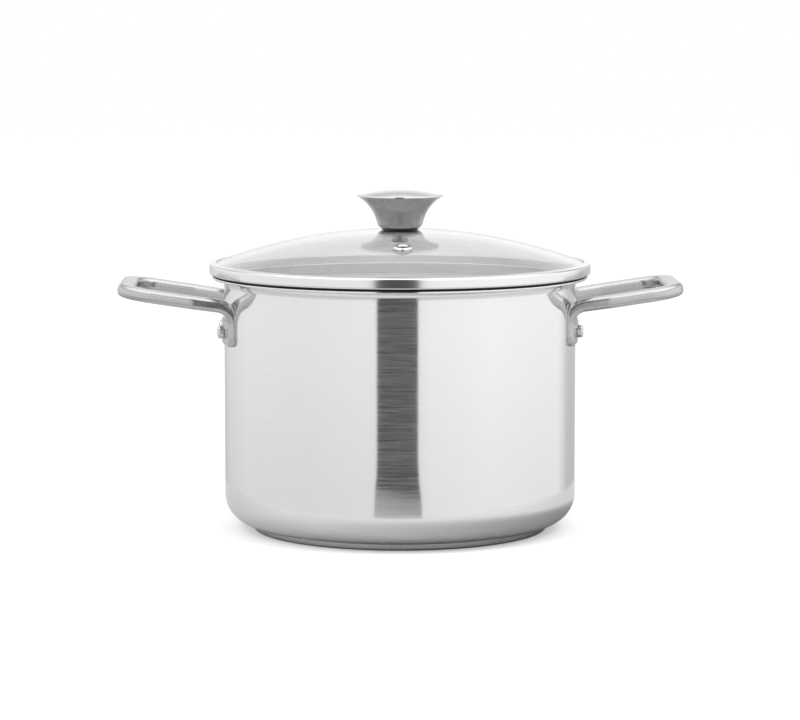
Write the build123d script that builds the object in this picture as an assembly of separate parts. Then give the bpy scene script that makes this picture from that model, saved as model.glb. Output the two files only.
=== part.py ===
from build123d import *
import os
from math import asin, cos, degrees, radians, sin, sqrt, tan

# Stock pot with a glass lid, in millimetres. Z is up and Z = 0 is the face that the pot stands on.
# The pot's axis is Z, the handles lie along X, and the lid's steam vent is at the front, at -Y.

# Pot
pot_inner_r = 120.0
pot_wall = 0.8
pot_height = 175.0
pot_corner_r = 20.0
lip_overhang = 8.1
lip_flare_r = 6.0
lip_bead_r = 1.0

# Encapsulated base
base_overlap = 0.2
base_height = 4.5
base_sheet = 0.6
base_edge_r = 1.2
base_groove = 0.3

# Handles: one bar of rounded section, bent into a loop, with its ends turned down the wall
handle_length = 71.2
handle_width = 98.0
handle_drop = 18.0
handle_rise = 0.15
bar_width = 11.5
bar_height = 8.8
bar_edge_r = 3.2
root_half_width = 39.0
root_bend_r = 13.4
root_length = 5.0
root_overlap = 1.0
shoulder_length = 20.7
side_bend_r = 25.0
end_bend_r = 18.0
leg_thickness = 2.8
leg_drop = 27.6
plate_thickness = 1.5
plate_height = 16.0

# Rivets
rivet_half_spacing = 19.0
rivet_r = 2.5
rivet_head_r = 4.3
rivet_head_height = 3.8
rivet_head_edge_r = 1.4
rivet_inner_head_r = 5.0
rivet_inner_head_height = 1.5
rivet_inner_edge_r = 1.0

# Lid
glass_dome_r = 358.0
glass_thickness = 4.0
glass_hole_r = 4.0
rim_overhang = 1.8
rim_sheet = 0.5
rim_wrap = 1.7
rim_face_lift = 1.2
rim_crimp_width = 4.7
rim_crown = 0.3
rim_edge_r = 1.2
skirt_depth = 6.8
skirt_clearance = 0.9
seal_width = 8.0
seal_bed = 1.35

# Steam vent, on the glass's own slope
vent_distance = 74.0
vent_bore_r = 2.5
vent_tube_wall = 0.8
vent_ring_r = 6.4
vent_ring_height = 1.6
vent_flange_r = 5.4
vent_flange_height = 0.9
vent_washer_height = 0.8

# Knob
knob_foot_r = 13.4
knob_top_r = 28.8
knob_height = 21.5
knob_sheet = 0.8
knob_cap_overhang = 0.7
knob_cap_edge = 1.0
knob_cap_rise = 4.2
knob_waist = (17.1, 6.9)
knob_flare = (22.6, 16.7)
core_height = 12.0
insert_r = 4.5
insert_height = 10.0
pad_r = 12.4
top_pad_height = 0.9
under_pad_height = 1.0
under_washer_height = 1.0
lock_washer_r = 5.2
lock_washer_height = 1.2
screw_r = 2.5
screw_head_r = 5.5
screw_head_height = 2.7
screw_head_edge_r = 1.2
screw_reach = 9.0

# Clearances
seat_gap = 0.3
fit_gap = 0.05
hole_gap = 0.1
thread_gap = 0.1

# What follows from them
pot_outer_r = pot_inner_r + pot_wall
lip_r = pot_outer_r + lip_overhang
shell_bottom_z = base_height
shell_floor_z = shell_bottom_z + pot_wall
base_r = pot_outer_r - pot_corner_r + base_overlap
lip_under_z = pot_height - pot_wall
flare_z = lip_under_z - lip_flare_r
rim_r = lip_r + rim_overhang
rim_floor_z = pot_height + rim_face_lift
glass_r = rim_r - rim_wrap
glass_inner_dome_r = glass_dome_r - glass_thickness
glass_centre_z = rim_floor_z + rim_sheet + seal_bed - sqrt(glass_inner_dome_r**2 - glass_r**2)
glass_top_z = glass_centre_z + glass_dome_r
glass_bottom_z = glass_top_z - glass_thickness
seat_z = pot_height + seat_gap
skirt_outer_r = pot_inner_r - skirt_clearance
handle_z = pot_height - handle_drop
leg_bottom_z = handle_z - leg_drop
root_wall_x = sqrt(pot_outer_r**2 - root_half_width**2)
root_angle = degrees(asin(root_half_width / pot_outer_r))
rivet_angle = degrees(asin(rivet_half_spacing / pot_outer_r))
knob_z = glass_top_z + top_pad_height


def glass_top(radius):
    """Height of the glass's upper face at a radius."""
    return glass_centre_z + sqrt(glass_dome_r**2 - radius**2)


def glass_bottom(radius):
    """Height of the glass's lower face at a radius."""
    return glass_centre_z + sqrt(glass_inner_dome_r**2 - radius**2)


def sagitta(sphere_r, radius):
    """How far a sphere or cylinder falls away from its tangent plane at a radius."""
    return sphere_r - sqrt(sphere_r**2 - radius**2)


def turned(points, rounds=()):
    """Solid turned about Z from (radius, height) points. rounds holds (point, fillet radius) pairs."""
    outline = Sketch() + make_face(Polyline(*points, close=True))
    for (radius, height), round_r in rounds:
        corner = outline.vertices().sort_by_distance((radius, height, 0))[0]
        outline = fillet(corner, round_r)
    return revolve(Plane.XZ * outline, Axis.Z)


def disc(radius, height, bore_r=0.0):
    """Disc standing on Z = 0, with or without a bore."""
    solid = Pos(0, 0, height / 2) * Cylinder(radius, height)
    if bore_r:
        solid -= Cylinder(bore_r, 4 * height)
    return solid


def radial_plane(angle, radius, height):
    """Plane at the wall whose Z points away from the pot's axis and whose X is level."""
    outward = Vector(cos(radians(angle)), sin(radians(angle)), 0)
    level = Vector(-sin(radians(angle)), cos(radians(angle)), 0)
    return Plane(outward * radius + Vector(0, 0, height), x_dir=level, z_dir=outward)


def make_pot_shell():
    """Sheet with a flat bottom, a round corner, a straight wall and a flared lip with a rolled edge."""
    flat_r = pot_outer_r - pot_corner_r
    corner_z = shell_bottom_z + pot_corner_r
    flare_centre_r = pot_outer_r + lip_flare_r
    edge_r = lip_r - lip_bead_r
    half = sqrt(0.5)
    outer_corner = (flat_r + half * pot_corner_r, corner_z - half * pot_corner_r)
    inner_corner_r = pot_corner_r - pot_wall
    inner_corner = (flat_r + half * inner_corner_r, corner_z - half * inner_corner_r)
    under_flare = (flare_centre_r - half * lip_flare_r, flare_z + half * lip_flare_r)
    upper_flare_r = lip_flare_r + pot_wall
    upper_flare = (flare_centre_r - half * upper_flare_r, flare_z + half * upper_flare_r)
    outline = Curve() + [
        Line((0, shell_bottom_z), (flat_r, shell_bottom_z)),
        ThreePointArc((flat_r, shell_bottom_z), outer_corner, (pot_outer_r, corner_z)),
        Line((pot_outer_r, corner_z), (pot_outer_r, flare_z)),
        ThreePointArc((pot_outer_r, flare_z), under_flare, (flare_centre_r, lip_under_z)),
        Line((flare_centre_r, lip_under_z), (edge_r, lip_under_z)),
        Line((edge_r, lip_under_z), (edge_r, pot_height)),
        Line((edge_r, pot_height), (flare_centre_r, pot_height)),
        ThreePointArc((flare_centre_r, pot_height), upper_flare, (pot_inner_r, flare_z)),
        Line((pot_inner_r, flare_z), (pot_inner_r, corner_z)),
        ThreePointArc((pot_inner_r, corner_z), inner_corner, (flat_r, shell_floor_z)),
        Line((flat_r, shell_floor_z), (0, shell_floor_z)),
        Line((0, shell_floor_z), (0, shell_bottom_z)),
    ]
    section = make_face(outline) + Pos(edge_r, pot_height - lip_bead_r) * Circle(lip_bead_r)
    shell = revolve(Plane.XZ * section, Axis.Z)
    for side in (0, 180):
        for angle in (-rivet_angle, rivet_angle):
            shell -= rivet_hole(side + angle)
    return shell


def make_base_core():
    """Heat-spreading disc between the capsule and the shell's bottom."""
    core_r = base_r - base_sheet - fit_gap
    points = [(0, base_sheet), (core_r, base_sheet), (core_r, base_height), (0, base_height)]
    return turned(points, [(points[1], base_edge_r)])


def make_base_cap():
    """Shallow cup round the core. Its wall stops short of the shell, which leaves the groove."""
    wall_top = base_height - base_groove
    inner_r = base_r - base_sheet
    points = [
        (0, 0),
        (base_r, 0),
        (base_r, wall_top),
        (inner_r, wall_top),
        (inner_r, base_sheet),
        (0, base_sheet),
    ]
    return turned(points, [(points[1], base_edge_r), (points[4], base_edge_r - base_sheet)])


def rivet_place(angle, radius):
    """Plane of a rivet at a distance from the pot's axis."""
    middle_z = leg_bottom_z + plate_height / 2
    return radial_plane(angle, radius, middle_z)


def rivet_hole(angle):
    """Cutter for a rivet's hole through the wall and the handle's plate."""
    depth = 4 * (pot_wall + plate_thickness)
    return rivet_place(angle, pot_outer_r) * Cylinder(rivet_r + hole_gap, depth)


def make_rivet(angle):
    """Rivet with a raised head outside the plate and a flat one inside the wall."""
    outer_face = pot_outer_r + fit_gap + plate_thickness + fit_gap
    inner_face = pot_inner_r - sagitta(pot_inner_r, rivet_inner_head_r) - fit_gap
    head = Pos(0, 0, rivet_head_height / 2) * Cylinder(rivet_head_r, rivet_head_height)
    head = fillet(head.edges().group_by(Axis.Z)[-1], rivet_head_edge_r)
    inner_head = Cylinder(rivet_inner_head_r, rivet_inner_head_height)
    inner_head = Pos(0, 0, -rivet_inner_head_height / 2) * inner_head
    inner_head = fillet(inner_head.edges().group_by(Axis.Z)[0], rivet_inner_edge_r)
    grip = outer_face - inner_face
    shank = Pos(0, 0, -grip / 2) * Cylinder(rivet_r, grip)
    rivet = head + shank + Pos(0, 0, -grip) * inner_head
    return rivet_place(angle, outer_face) * rivet


def bar_along(path, height_axis):
    """Sweep the bar's rounded section along a flat path. height_axis is its height at the start."""
    start = Plane(path @ 0, x_dir=height_axis, z_dir=path % 0)
    return sweep(start * RectangleRounded(bar_height, bar_width, bar_edge_r), path=path)


def make_handle():
    """Right-hand handle: the loop, two bent roots with legs on the wall, and the plate between them."""
    wall_r = pot_outer_r + fit_gap
    arm_y = (handle_width - bar_width) / 2
    end_x = pot_outer_r + handle_length - bar_width / 2
    turn_x = pot_outer_r + shoulder_length
    foot = Vector(root_wall_x, root_half_width, 0)
    outward = (Vector(turn_x, arm_y, 0) - foot).normalized()
    leg_at = fit_gap + leg_thickness - bar_height / 2
    root_end = foot + outward * (leg_at + root_bend_r + root_length)
    stretch = sqrt(1 + handle_rise**2)
    loop_plane = Plane((pot_outer_r, 0, handle_z), x_dir=(1, 0, handle_rise), z_dir=(-handle_rise, 0, 1))

    def on_loop(x, y):
        return ((x - pot_outer_r) * stretch, y)

    corners = [
        on_loop(root_end.X, root_end.Y),
        on_loop(turn_x, arm_y),
        on_loop(end_x, arm_y),
        on_loop(end_x, -arm_y),
        on_loop(turn_x, -arm_y),
        on_loop(root_end.X, -root_end.Y),
    ]
    bends = [side_bend_r, end_bend_r, end_bend_r, side_bend_r]
    loop_path = loop_plane * FilletPolyline(*corners, radius=bends)
    handle = bar_along(loop_path, loop_plane.z_dir)
    root = make_root(foot, outward, leg_at)
    handle += root
    handle += mirror(root, about=Plane.XZ)
    plate_place = Pos(wall_r + plate_thickness / 2, leg_bottom_z + plate_height / 2)
    plate_profile = Plane.XZ * plate_place * Rectangle(plate_thickness, plate_height)
    plate = Rot(0, 0, -root_angle) * revolve(plate_profile, Axis.Z, revolution_arc=2 * root_angle)
    handle += plate
    handle -= Cylinder(wall_r, 4 * pot_height)
    for angle in (-rivet_angle, rivet_angle):
        handle -= rivet_hole(angle)
    return handle


def make_root(foot, outward, leg_at):
    """Bent end of the bar, from the loop's arm down to the leg's foot, before the wall is cut away.
    foot is the leg's place on the wall, and leg_at is how far the leg's middle lies outside it."""

    def bar_z(distance):
        return handle_z + handle_rise * (foot.X + outward.X * distance - pot_outer_r)

    plane = Plane(foot, x_dir=outward, z_dir=Vector(outward.Y, -outward.X, 0))
    far = leg_at + root_bend_r + root_length + root_overlap
    points = [(leg_at, leg_bottom_z), (leg_at, bar_z(leg_at)), (far, bar_z(far))]
    path = plane * FilletPolyline(*points, radius=root_bend_r)
    return bar_along(path, outward)


def vent_plane():
    """Plane on the glass's upper face at the vent, with Z square to the glass."""
    height = glass_top(vent_distance)
    slope = Vector(0, -vent_distance, height - glass_centre_z)
    return Plane((0, -vent_distance, height), x_dir=(1, 0, 0), z_dir=slope)


def make_lid_glass():
    """Dome of even thickness with a knob hole and a vent hole."""
    half_r = glass_r / 2
    edge_bottom = (glass_r, glass_bottom(glass_r))
    outline = Curve() + [
        ThreePointArc((0, glass_top_z), (half_r, glass_top(half_r)), (glass_r, glass_top(glass_r))),
        Line((glass_r, glass_top(glass_r)), edge_bottom),
        ThreePointArc(edge_bottom, (half_r, glass_bottom(half_r)), (0, glass_bottom_z)),
        Line((0, glass_bottom_z), (0, glass_top_z)),
    ]
    glass = revolve(Plane.XZ * make_face(outline), Axis.Z)
    glass -= Pos(0, 0, glass_top_z) * Cylinder(glass_hole_r, 4 * glass_thickness)
    vent_hole_r = vent_bore_r + vent_tube_wall + hole_gap
    glass -= vent_plane() * Cylinder(vent_hole_r, 4 * glass_thickness)
    return glass


def seat_points(offset):
    """The rim floor's outline from its outer flat to its seat, offset upwards by a thickness."""
    step = rim_floor_z - seat_z
    outer_r = lip_r + fit_gap + step / 2
    shift = offset * tan(radians(22.5))
    return [
        (outer_r - shift, rim_floor_z + offset),
        (outer_r - step - shift, seat_z + offset),
    ]


def make_lid_band():
    """Rolled rim: crimp on the glass, upright face, floor with a seat on the lip, and a skirt."""
    face_inner_r = rim_r - rim_sheet
    crimp_r = rim_r - rim_crimp_width
    crimp_under = glass_top(crimp_r) + fit_gap
    crimp_outer_under = glass_top(glass_r) + fit_gap
    step_under = seat_points(0)
    step_over = seat_points(rim_sheet)
    rim_top_z = crimp_outer_under + rim_sheet + rim_crown
    skirt_inner_r = skirt_outer_r - rim_sheet
    skirt_bottom_z = pot_height - skirt_depth
    points = [
        (crimp_r, crimp_under),
        (crimp_r, crimp_under + rim_sheet),
        (rim_r, rim_top_z),
        (rim_r, rim_floor_z),
        step_under[0],
        step_under[1],
        (skirt_outer_r, seat_z),
        (skirt_outer_r, skirt_bottom_z),
        (skirt_inner_r, skirt_bottom_z),
        (skirt_inner_r, seat_z + rim_sheet),
        step_over[1],
        step_over[0],
        (face_inner_r, rim_floor_z + rim_sheet),
        (face_inner_r, crimp_outer_under),
        (glass_r, crimp_outer_under),
    ]
    rounds = [(points[2], rim_edge_r), (points[3], rim_edge_r), (points[12], rim_edge_r - rim_sheet)]
    return turned(points, rounds)


def make_band_seal():
    """Silicone ring under and round the glass's edge, inside the rim."""
    outer_r = rim_r - rim_sheet - fit_gap
    step_over = seat_points(rim_sheet + fit_gap)
    inner_r = glass_r - seal_width
    clear_r = glass_r + fit_gap
    floor_z = rim_floor_z + rim_sheet + fit_gap
    points = [
        (outer_r, floor_z),
        (outer_r, glass_top(glass_r)),
        (clear_r, glass_top(glass_r)),
        (clear_r, glass_bottom(clear_r) - fit_gap),
        (inner_r, glass_bottom(inner_r) - sagitta(glass_inner_dome_r, seal_width / 2) - fit_gap),
        (inner_r, seat_z + rim_sheet + fit_gap),
        step_over[1],
        step_over[0],
    ]
    return turned(points, [(points[0], rim_edge_r - rim_sheet)])


def make_vent_eyelet():
    """Tube through the glass with a rounded ring above it and a flared flange below."""
    tube_r = vent_bore_r + vent_tube_wall
    washer_top = -glass_thickness - sagitta(glass_inner_dome_r, vent_ring_r) - fit_gap
    flange_top = washer_top - vent_washer_height
    flange_bottom = flange_top - vent_flange_height
    points = [
        (vent_bore_r, flange_bottom),
        (vent_flange_r, flange_bottom),
        (vent_flange_r, flange_top),
        (tube_r, flange_top),
        (tube_r, fit_gap),
        (vent_ring_r, fit_gap),
        (vent_ring_r, vent_ring_height),
        (vent_bore_r, vent_ring_height),
    ]
    rounds = [(points[6], vent_ring_height / 2), (points[7], vent_ring_height / 2)]
    return vent_plane() * turned(points, rounds)


def make_vent_washer():
    """Soft washer between the eyelet's flange and the glass."""
    washer_top = -glass_thickness - sagitta(glass_inner_dome_r, vent_ring_r) - fit_gap
    bore_r = vent_bore_r + vent_tube_wall + fit_gap
    washer = disc(vent_ring_r, vent_washer_height, bore_r)
    return vent_plane() * Pos(0, 0, washer_top - vent_washer_height) * washer


def knob_outline(inset):
    """Points of the knob's flare, inset along the radius, from above the foot to the top."""
    waist_r, waist_z = knob_waist
    flare_r, flare_z_up = knob_flare
    return [
        (knob_foot_r - inset, knob_z),
        (waist_r - inset, knob_z + waist_z),
        (flare_r - inset, knob_z + flare_z_up),
        (knob_top_r - inset, knob_z + knob_height),
    ]


def make_knob_body():
    """Hollow flared shell with a flat foot, open at the top."""
    inset = knob_sheet
    outer = knob_outline(0)
    inner = knob_outline(inset)
    floor_z = knob_z + knob_sheet
    bore_r = screw_r + hole_gap
    inner_floor = (inner[0][0], floor_z)
    outline = Curve() + [
        Line((bore_r, knob_z), outer[0]),
        Spline(*outer),
        Line(outer[-1], inner[-1]),
        Spline(inner[-1], inner[-2], inner[-3], inner_floor),
        Line(inner_floor, (bore_r, floor_z)),
        Line((bore_r, floor_z), (bore_r, knob_z)),
    ]
    section = Sketch() + make_face(outline)
    foot = section.vertices().sort_by_distance((knob_foot_r, knob_z, 0))[0]
    section = fillet(foot, knob_sheet)
    return revolve(Plane.XZ * section, Axis.Z)


def make_knob_cap():
    """Domed cap with a thin upright edge that closes the knob."""
    edge_z = knob_z + knob_height + fit_gap
    shoulder_z = edge_z + knob_cap_edge
    knob_cap_r = knob_top_r + knob_cap_overhang
    dome_r = (knob_cap_r**2 + knob_cap_rise**2) / (2 * knob_cap_rise)
    middle_r = knob_cap_r / 2
    middle_z = shoulder_z + knob_cap_rise - sagitta(dome_r, middle_r)
    inner_dome_r = dome_r - knob_sheet
    inner_r = sqrt(inner_dome_r**2 - (dome_r - knob_cap_rise) ** 2)
    inner_middle_z = shoulder_z + knob_cap_rise - knob_sheet - sagitta(inner_dome_r, middle_r)
    outline = Curve() + [
        Line((inner_r, edge_z), (knob_cap_r, edge_z)),
        Line((knob_cap_r, edge_z), (knob_cap_r, shoulder_z)),
        ThreePointArc((knob_cap_r, shoulder_z), (middle_r, middle_z), (0, shoulder_z + knob_cap_rise)),
        Line((0, shoulder_z + knob_cap_rise), (0, shoulder_z + knob_cap_rise - knob_sheet)),
        ThreePointArc(
            (0, shoulder_z + knob_cap_rise - knob_sheet),
            (middle_r, inner_middle_z),
            (inner_r, shoulder_z),
        ),
        Line((inner_r, shoulder_z), (inner_r, edge_z)),
    ]
    return revolve(Plane.XZ * make_face(outline), Axis.Z)


def make_knob_core():
    """Moulded filler that stands on the knob's floor, with a pocket for the insert."""
    core_z = knob_z + knob_sheet
    top_r = knob_waist[0] - knob_sheet - seat_gap
    foot_r = knob_foot_r - knob_sheet - seat_gap
    points = [
        (insert_r + fit_gap, core_z),
        (foot_r, core_z),
        (top_r, core_z + knob_waist[1]),
        (top_r, core_z + core_height),
        (insert_r + fit_gap, core_z + core_height),
    ]
    return turned(points)


def make_knob_insert():
    """Brass bush that takes the screw."""
    return Pos(0, 0, knob_z + knob_sheet) * disc(insert_r, insert_height, screw_r + thread_gap)


def make_knob_gasket():
    """Soft pad between the knob and the glass."""
    return Pos(0, 0, glass_top_z) * disc(knob_foot_r - knob_sheet, top_pad_height, screw_r + hole_gap)


def under_stack_z():
    """Heights under the glass: pad top, washer top, lock washer top and screw head top."""
    pad_z = glass_bottom_z - sagitta(glass_inner_dome_r, pad_r) - fit_gap
    washer_z = pad_z - under_pad_height
    lock_z = washer_z - under_washer_height
    head_z = lock_z - lock_washer_height
    return pad_z, washer_z, lock_z, head_z


def make_under_gasket():
    """Soft pad under the glass."""
    washer_z = under_stack_z()[1]
    return Pos(0, 0, washer_z) * disc(pad_r, under_pad_height, screw_r + hole_gap)


def make_under_washer():
    """Wide steel washer under the soft pad."""
    lock_z = under_stack_z()[2]
    return Pos(0, 0, lock_z) * disc(pad_r, under_washer_height, screw_r + hole_gap)


def make_lock_washer():
    """Small washer under the screw's head."""
    head_z = under_stack_z()[3]
    return Pos(0, 0, head_z) * disc(lock_washer_r, lock_washer_height, screw_r + hole_gap)


def make_knob_screw():
    """Pan-head screw from below the glass up into the insert."""
    head_z = under_stack_z()[3]
    tip_z = knob_z + knob_sheet + screw_reach
    points = [
        (0, head_z - screw_head_height),
        (screw_head_r, head_z - screw_head_height),
        (screw_head_r, head_z),
        (screw_r, head_z),
        (screw_r, tip_z),
        (0, tip_z),
    ]
    return turned(points, [(points[1], screw_head_edge_r)])


right_handle = make_handle()
nodes = {
    "pot_shell": make_pot_shell(),
    "base_core": make_base_core(),
    "base_cap": make_base_cap(),
    "handle_right": right_handle,
    "handle_left": Rot(0, 0, 180) * right_handle,
    "rivet_right_front": make_rivet(-rivet_angle),
    "rivet_right_rear": make_rivet(rivet_angle),
    "rivet_left_front": make_rivet(180 + rivet_angle),
    "rivet_left_rear": make_rivet(180 - rivet_angle),
    "lid_glass": make_lid_glass(),
    "lid_band": make_lid_band(),
    "band_seal": make_band_seal(),
    "vent_eyelet": make_vent_eyelet(),
    "vent_washer": make_vent_washer(),
    "knob_body": make_knob_body(),
    "knob_cap": make_knob_cap(),
    "knob_core": make_knob_core(),
    "knob_insert": make_knob_insert(),
    "knob_gasket": make_knob_gasket(),
    "under_gasket": make_under_gasket(),
    "under_washer": make_under_washer(),
    "lock_washer": make_lock_washer(),
    "knob_screw": make_knob_screw(),
}

os.makedirs("parts", exist_ok=True)
for name, solid in nodes.items():
    export_step(solid, f"parts/{name}.step")
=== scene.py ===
import bmesh
import bpy
import numpy as np
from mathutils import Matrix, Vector


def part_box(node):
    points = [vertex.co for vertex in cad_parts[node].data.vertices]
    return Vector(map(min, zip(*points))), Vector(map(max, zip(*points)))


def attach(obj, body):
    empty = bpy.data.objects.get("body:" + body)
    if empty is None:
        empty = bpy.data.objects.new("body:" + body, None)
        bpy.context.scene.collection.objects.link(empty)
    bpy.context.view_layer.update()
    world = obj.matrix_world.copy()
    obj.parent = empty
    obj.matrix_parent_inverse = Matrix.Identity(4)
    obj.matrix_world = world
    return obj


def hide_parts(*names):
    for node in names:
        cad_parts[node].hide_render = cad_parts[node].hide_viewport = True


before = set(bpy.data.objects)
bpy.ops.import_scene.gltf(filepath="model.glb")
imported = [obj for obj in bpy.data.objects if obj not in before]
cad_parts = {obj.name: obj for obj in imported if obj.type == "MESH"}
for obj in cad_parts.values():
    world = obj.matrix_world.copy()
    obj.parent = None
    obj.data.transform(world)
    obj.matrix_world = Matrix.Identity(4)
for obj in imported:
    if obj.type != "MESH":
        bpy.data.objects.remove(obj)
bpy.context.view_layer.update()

# Lengths are in millimetres until a mesh is written, and the pot's axis is Z.
MM = 0.001

# ---------------------------------------------------------------- sizes read from the frame


def extent(node):
    """Lowest and highest corners of a node, in millimetres."""
    low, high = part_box(node)
    return np.array(low) / MM, np.array(high) / MM


shell_low, shell_high = extent("pot_shell")
_, base_high = extent("base_cap")
handle_low, handle_high = extent("handle_right")
_, glass_high = extent("lid_glass")
band_low, band_high = extent("lid_band")
knob_low, knob_high = extent("knob_body")
knob_cap_low, knob_cap_high = extent("knob_cap")
screw_low, screw_high = extent("knob_screw")
lock_low, _ = extent("lock_washer")

# ---------------------------------------------------------------- sizes that no box gives

# Pot
lip_r = shell_high[0]
pot_top_z = shell_high[2]
shell_bottom_z = shell_low[2]
pot_wall = 0.8
lip_overhang = 8.1
lip_flare_r = 6.0
lip_bead_r = 1.0
lip_flat = 0.6
corner_r = 20.0
pot_outer_r = lip_r - lip_overhang
pot_inner_r = pot_outer_r - pot_wall

# Encapsulated base
base_r = base_high[0]
base_top_z = base_high[2]
base_sheet = 0.6
base_edge_r = 1.2

# Handles
bar_width = 11.5
bar_height = 8.8
bar_edge_r = 3.4
root_half_width = 39.0
root_bend_r = 13.4
shoulder_length = 20.7
side_bend_r = 25.0
end_bend_r = 18.0
leg_thickness = 2.8
foot_corner_r = 4.0
plate_thickness = 1.5
plate_height = 16.0
handle_rise = 0.15
wall_gap = 0.05
handle_end_x = handle_high[0]
arm_y = handle_high[1] - bar_width / 2
leg_bottom_z = handle_low[2]
handle_drop = 18.0
handle_z = pot_top_z - handle_drop

# Rivets
rivet_half_spacing = 19.0
rivet_head_r = 4.3
rivet_head_height = 3.8
rivet_inner_head_r = 5.0
rivet_inner_head_height = 1.5
rivet_shank_r = 2.5

# Lid
glass_r = glass_high[0]
glass_top_z = glass_high[2]
glass_dome_r = 358.0
glass_thickness = 4.0
glass_hole_r = 4.0
rim_r = band_high[0]
rim_sheet = 0.5
rim_crimp_width = 4.7
rim_crown = 0.3
rim_face_lift = 1.2
seat_gap = 0.3
seat_step_slant = 0.2
skirt_bottom_z = band_low[2]
skirt_clearance = 0.9
vent_distance = 74.0
vent_bore_r = 2.5
vent_tube_r = 3.3
vent_ring_r = 6.4
vent_ring_height = 1.6
vent_flange_r = 5.4
vent_flange_height = 0.9
vent_washer_height = 0.8
hole_clearance = 0.1

# Knob and its fixing. The knob's radius grows from waist to edge: a straight share and a late flare.
knob_waist_r = 15.4
knob_foot_r = 13.6
knob_foot_rise = 2.0
knob_bore_r = 2.6
knob_sheet = 0.8
knob_straight_share = 0.36
knob_flare_power = 2.8
knob_cap_edge = 1.0
knob_cap_round = 0.7
knob_cap_turn_in = 1.6
knob_cap_hollow = 2.0
screw_r = 2.5
recess_width = 1.3
recess_length = 5.6
recess_depth = 1.5
recess_taper = 0.55

glass_inner_dome_r = glass_dome_r - glass_thickness
glass_centre_z = glass_top_z - glass_dome_r


def glass_top(radius):
    """Height of the glass's upper face: a sphere about a point far below."""
    return glass_centre_z + np.sqrt(glass_dome_r**2 - radius**2)


def glass_bottom(radius):
    """Height of the glass's lower face: a smaller sphere about the same point."""
    return glass_centre_z + np.sqrt(glass_inner_dome_r**2 - radius**2)


# ---------------------------------------------------------------- outlines and surfaces

# Metres within which points are one point, and edges no edges.
merge_distance = 1e-7
sliver_length = 1e-8
# Degrees between two faces past which a drilled piece's edge is sharp.
crease_angle = 40


def unit(vector):
    """The vector at length one."""
    return vector / np.linalg.norm(vector)


def corner_arc(before, corner, after, radius, steps):
    """Arc that touches both runs at a corner. Its centre lies on the bisector, radius / sin(half the
    angle) away."""
    to_before = unit(before - corner)
    to_after = unit(after - corner)
    half = np.arccos(np.clip(to_before @ to_after, -1, 1)) / 2
    start = corner + to_before * radius / np.tan(half)
    centre = corner + unit(to_before + to_after) * radius / np.sin(half)
    first = unit(start - centre)
    end = corner + to_after * radius / np.tan(half)
    across = unit((end - centre) - first * ((end - centre) @ first))
    turn = np.linspace(0, np.pi - 2 * half, steps + 1)[:, None]
    return centre + radius * (np.cos(turn) * first + np.sin(turn) * across)


def run(start, end, step, guard):
    """Points inside a straight run, a step apart, with one more close to each end to hold the shading. A
    run shorter than three guards has none."""
    length = np.linalg.norm(end - start)
    if length < 3 * guard:
        return np.zeros((0, len(start)))
    inner = np.linspace(guard, length - guard, max(2, int(np.ceil(length / step)) + 1))
    return start + inner[:, None] * (end - start) / length


def rounded(corners, radii, closed=True, step=3.0, steps=6, guard=0.12):
    """Polyline whose corners are arcs. Each corner gives an arc, or itself where its radius is 0."""
    corners = [np.array(c, float) for c in corners]
    count = len(corners)
    stretches = []
    for i, (corner, radius) in enumerate(zip(corners, radii)):
        if radius and (closed or 0 < i < count - 1):
            before, after = corners[i - 1], corners[(i + 1) % count]
            stretches.append(corner_arc(before, corner, after, radius, steps))
        else:
            stretches.append(corner[None, :])
    points = []
    for i, stretch in enumerate(stretches):
        points.append(stretch)
        if closed or i < count - 1:
            points.append(run(stretch[-1], stretches[(i + 1) % count][0], step, guard))
    return np.concatenate(points)


def surface(name, grid, wrap_rows, wrap_columns, material):
    """Mesh of a grid of points (rows, columns, 3): each four neighbours are a face. A wrapped side joins
    its first line."""
    rows, columns = grid.shape[:2]
    row = np.arange(rows if wrap_rows else rows - 1)[:, None]
    column = np.arange(columns if wrap_columns else columns - 1)[None, :]
    next_row, next_column = (row + 1) % rows, (column + 1) % columns
    corners = [row * columns + column, row * columns + next_column]
    corners += [next_row * columns + next_column, next_row * columns + column]
    faces = np.stack(np.broadcast_arrays(*corners), -1).reshape(-1, 4)
    mesh = bpy.data.meshes.new(name)
    mesh.from_pydata((grid.reshape(-1, 3) * MM).tolist(), [], faces.tolist())
    return finished(name, mesh, material)


def finished(name, mesh, material):
    """Object of a mesh with its doubles merged, its faces outwards, smooth shading and its material."""
    work = bmesh.new()
    work.from_mesh(mesh)
    bmesh.ops.remove_doubles(work, verts=work.verts, dist=merge_distance)
    bmesh.ops.dissolve_degenerate(work, dist=sliver_length, edges=work.edges)
    bmesh.ops.recalc_face_normals(work, faces=work.faces)
    work.to_mesh(mesh)
    work.free()
    mesh.shade_smooth()
    mesh.materials.append(material)
    piece = bpy.data.objects.new(name, mesh)
    bpy.context.scene.collection.objects.link(piece)
    return piece


def turned_grid(profile, segments=256, full_turn=2 * np.pi, start=0.0):
    """Surface of revolution: (radius, height) points carried round Z by equal turns."""
    whole = full_turn >= 2 * np.pi
    angle = start + np.linspace(0, full_turn, segments, endpoint=not whole)
    radius, height = profile[:, 0][:, None], profile[:, 1][:, None]
    x, y = radius * np.cos(angle), radius * np.sin(angle)
    return np.stack([x, y, np.broadcast_to(height, x.shape)], -1)


def turned(name, profile, material, closed=True, segments=256):
    """Piece turned about Z. A profile that isn't closed starts and ends on the axis."""
    return surface(name, turned_grid(profile, segments), closed, True, material)


def placed(grid, origin, x_axis, z_axis):
    """Grid moved so that its Z lies along z_axis and its X near x_axis, at origin."""
    z_axis = unit(np.array(z_axis, float))
    y_axis = unit(np.cross(z_axis, np.array(x_axis, float)))
    x_axis = np.cross(y_axis, z_axis)
    return np.array(origin, float) + grid @ np.stack([x_axis, y_axis, z_axis])


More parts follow.
